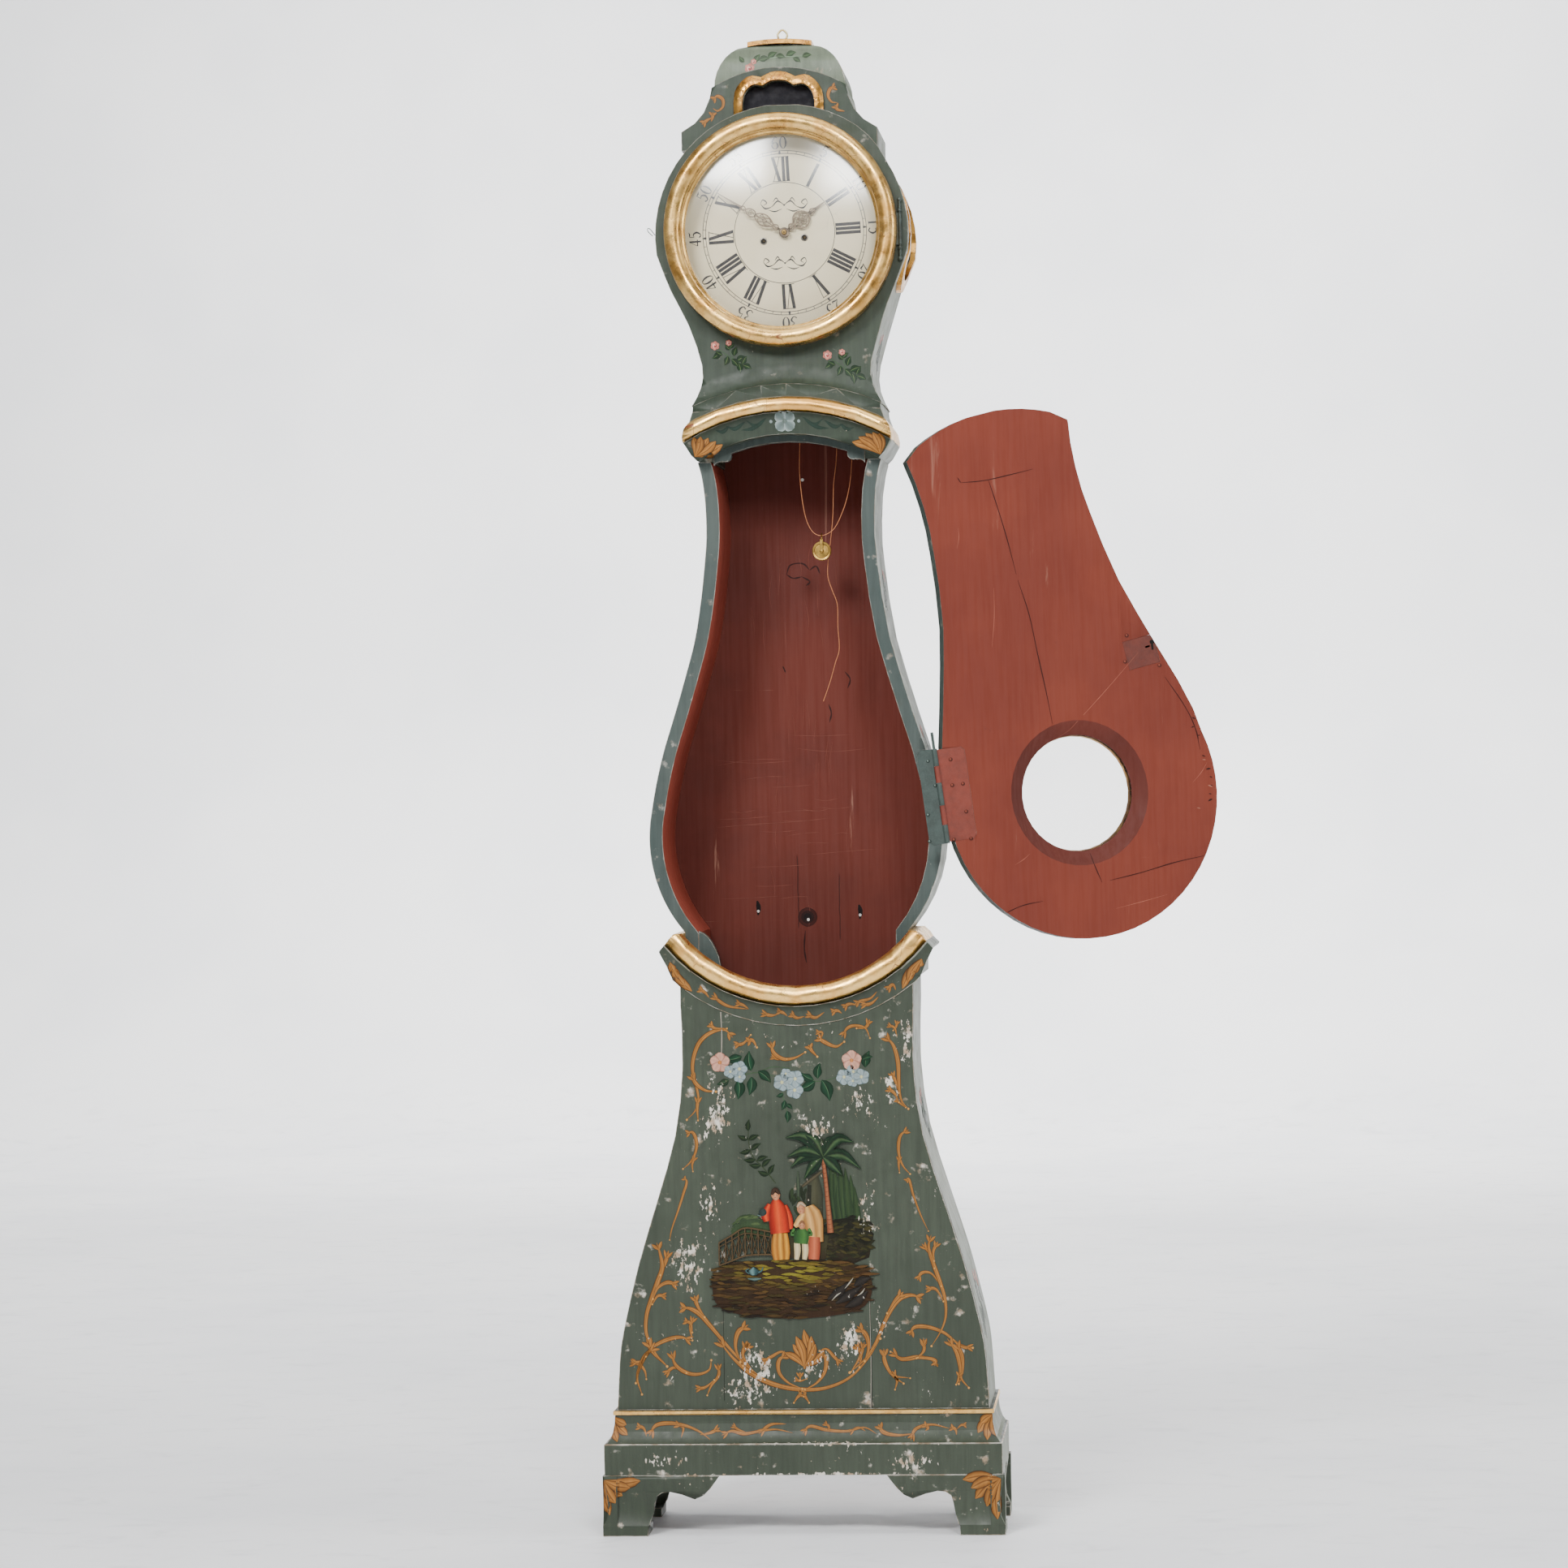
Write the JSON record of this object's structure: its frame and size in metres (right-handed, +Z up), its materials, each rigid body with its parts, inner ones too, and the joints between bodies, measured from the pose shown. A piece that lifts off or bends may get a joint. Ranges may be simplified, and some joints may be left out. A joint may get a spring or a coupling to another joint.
{
  "type": "grandfather clock",
  "caption": "Tall floor-standing longcase clock with a waisted painted case, open trunk door with a round lens, glazed round dial door, two-train movement and domed hood.",
  "frame": {"origin": "on the floor under the middle of the plinth", "axes": "+Z up, -Y towards the front where the dial looks, +X to the viewer's right, the side the trunk door hangs on"},
  "size_m": [0.9397, 0.2547, 2.2828],
  "materials": {
    "green_paint": "worn blue-green paint on pine",
    "pale_green_paint": "worn pale grey-green paint on pine",
    "gilt_wood": "worn gilding over red bole on wood",
    "red_paint": "matt brick-red distemper on pine",
    "bare_wood": "unpainted pine",
    "brass": "aged brass",
    "iron": "dark forged iron",
    "steel": "polished steel",
    "enamel": "cream enamel on copper",
    "clear_glass": "clear convex glass",
    "dark_glass": "thick bevelled glass",
    "cloth": "black sound cloth",
    "gut": "twisted gut"
  },
  "bodies": {
    "case": {"foot_front_left": "green_paint", "foot_front_right": "green_paint", "foot_rear_left": "green_paint", "foot_rear_right": "green_paint", "plinth_frame": "green_paint", "plinth_moulding": "green_paint", "base_front_board": "green_paint", "base_side_right": "green_paint", "base_side_left": "green_paint", "back_board": "red_paint", "waist_moulding_gilt": "gilt_wood", "waist_moulding_cove": "green_paint", "trunk_side_right": "green_paint", "trunk_side_left": "green_paint", "trunk_bottom_rail": "green_paint", "trunk_top_rail": "green_paint", "neck_moulding_cove": "green_paint", "neck_moulding_gilt": "gilt_wood", "hood_front_board": "green_paint", "hood_side_right": "pale_green_paint", "hood_side_left": "pale_green_paint", "side_window_ring_right": "gilt_wood", "side_window_ring_left": "gilt_wood", "side_window_cloth_right": "cloth", "side_window_cloth_left": "cloth", "pediment_board": "green_paint", "pediment_frame": "gilt_wood", "pediment_cloth": "cloth", "hood_roof": "pale_green_paint", "roof_cap": "pale_green_paint", "screw_eye": "brass", "side_hook": "iron", "hinge_leaf_case": "iron", "bezel_hinge": "iron", "dial": "enamel", "movement_front_plate": "brass", "movement_back_plate": "brass", "bell": "brass", "seat_board": "bare_wood", "gut_line_going": "gut", "gut_line_strike": "gut"},
    "trunk_door": {"door_panel": "red_paint", "door_glass": "dark_glass", "door_lens_ring": "gilt_wood", "door_lock": "iron", "hinge_leaf_door": "iron"},
    "dial_door": {"bezel_ring": "gilt_wood", "bezel_glass": "clear_glass"},
    "minute_arbor": {"centre_wheel": "brass", "minute_hand": "steel"},
    "hour_pipe": {"hour_hand": "steel"},
    "going_winder": {"going_barrel": "brass"},
    "third_arbor": {"third_wheel": "brass"},
    "escape_arbor": {"escape_wheel": "brass"},
    "anchor_arbor": {"anchor": "steel"},
    "strike_winder": {"strike_barrel": "brass"},
    "pin_arbor": {"pin_wheel": "brass"},
    "hammer_arbor": {"hammer": "steel"},
    "pulley_block": {"pulley_stirrup": "brass"},
    "pulley_wheel": {"pulley_sheave": "brass"}
  },
  "joints": [
    {"name": "trunk_door_swing", "type": "hinge", "parent": "case", "child": "trunk_door", "pos_m": [0.221, -0.07, 1.106], "axis": [-0.1271, 0, 0.9919], "range_deg": [-201.5, 0]},
    {"name": "dial_door_swing", "type": "hinge", "parent": "case", "child": "dial_door", "pos_m": [0.1745, -0.095, 1.962], "axis": [0, 0, 1], "range_deg": [0, 110]},
    {"name": "minute_turn", "type": "hinge", "parent": "case", "child": "minute_arbor", "pos_m": [-0.002, 0, 1.962], "axis": [0, 1, 0], "continuous": true},
    {"name": "hour_turn", "type": "hinge", "parent": "case", "child": "hour_pipe", "pos_m": [-0.002, 0, 1.962], "axis": [0, 1, 0], "continuous": true},
    {"name": "going_barrel_turn", "type": "hinge", "parent": "case", "child": "going_winder", "pos_m": [0.028, 0, 1.954], "axis": [0, 1, 0], "continuous": true},
    {"name": "third_wheel_turn", "type": "hinge", "parent": "case", "child": "third_arbor", "pos_m": [-0.014, 0, 1.97542], "axis": [0, 1, 0], "continuous": true},
    {"name": "escape_wheel_turn", "type": "hinge", "parent": "case", "child": "escape_arbor", "pos_m": [-0.002, 0, 1.98491], "axis": [0, 1, 0], "continuous": true},
    {"name": "anchor_swing", "type": "hinge", "parent": "case", "child": "anchor_arbor", "pos_m": [-0.002, 0, 2.0033], "axis": [0, 1, 0], "range_deg": [-2, 2]},
    {"name": "strike_barrel_turn", "type": "hinge", "parent": "case", "child": "strike_winder", "pos_m": [-0.034, 0, 1.95], "axis": [0, 1, 0], "continuous": true},
    {"name": "pin_wheel_turn", "type": "hinge", "parent": "case", "child": "pin_arbor", "pos_m": [-0.04, 0, 1.97693], "axis": [0, 1, 0], "continuous": true},
    {"name": "hammer_lift", "type": "hinge", "parent": "case", "child": "hammer_arbor", "pos_m": [-0.052, 0, 1.992], "axis": [0, 1, 0], "range_deg": [-10, 0], "stiffness_Nm_per_rad": 0.05, "springref_deg": 2.86},
    {"name": "pulley_block_swing", "type": "hinge", "parent": "case", "child": "pulley_block", "pos_m": [0.0408, 0.015, 1.507], "axis": [1, 0, 0], "range_deg": [-10, 10]},
    {"name": "pulley_turn", "type": "hinge", "parent": "pulley_block", "child": "pulley_wheel", "pos_m": [0.0408, 0.015, 1.483], "axis": [0, 1, 0], "continuous": true}
  ],
  "couplings": [
    {"joint": "hour_turn", "follows": "minute_turn", "ratio": 0.083333},
    {"joint": "going_barrel_turn", "follows": "minute_turn", "ratio": -0.083333},
    {"joint": "third_wheel_turn", "follows": "minute_turn", "ratio": -8},
    {"joint": "escape_wheel_turn", "follows": "minute_turn", "ratio": 60},
    {"joint": "pin_wheel_turn", "follows": "strike_barrel_turn", "ratio": -9}
  ]
}
